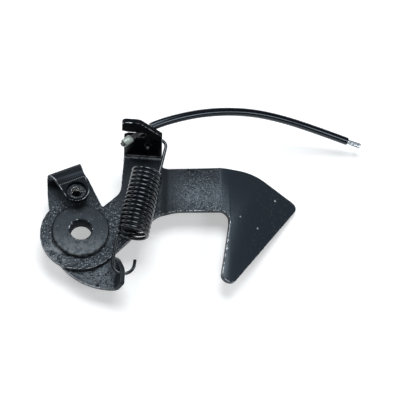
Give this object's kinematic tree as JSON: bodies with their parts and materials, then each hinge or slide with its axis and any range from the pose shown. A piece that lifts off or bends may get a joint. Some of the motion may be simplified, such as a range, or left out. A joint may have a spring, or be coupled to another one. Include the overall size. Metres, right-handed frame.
{
  "type": "cab safety latch",
  "caption": "Pressed steel latch hook on a flanged pivot bush, pulled to its stop by a tension spring and let go by a short sheathed release cable.",
  "frame": {"origin": "on the pivot axis, in the anchor plate's mounting face", "axes": "+Z along the pivot axis, out of the mounting face towards the bush's flange; +X along the hook's arm towards its blade; +Y from the pivot towards the cable's ear"},
  "size_m": [0.2063, 0.1227, 0.0549],
  "materials": {
    "hook_paint": "semi-gloss black paint with a fine grain",
    "anchor_paint": "smooth semi-gloss black paint",
    "bush_paint": "smooth dark slate, scuffed on its lower side",
    "nut_steel": "black paint outside, bright thread inside",
    "spring_steel": "gloss black coating",
    "rope_steel": "galvanised wire strands",
    "sheath_plastic": "glossy black extruded plastic",
    "ferrule_metal": "bright, crimped"
  },
  "bodies": {
    "anchor": {"anchor_plate": "anchor_paint", "pivot_bush": "bush_paint", "tension_spring": "spring_steel"},
    "hook": {"hook_plate": "hook_paint", "weld_nut": "nut_steel", "cable_rope": "rope_steel", "cable_sheath": "sheath_plastic", "cable_ferrule": "ferrule_metal"}
  },
  "joints": [
    {"name": "hook_pivot", "type": "hinge", "parent": "anchor", "child": "hook", "pos_m": [0, 0, 0.0042], "axis": [0, 0, 1], "range_deg": [0, 18], "stiffness_Nm_per_rad": 1.8, "springref_deg": -34.38, "deforming": ["tension_spring"]}
  ]
}
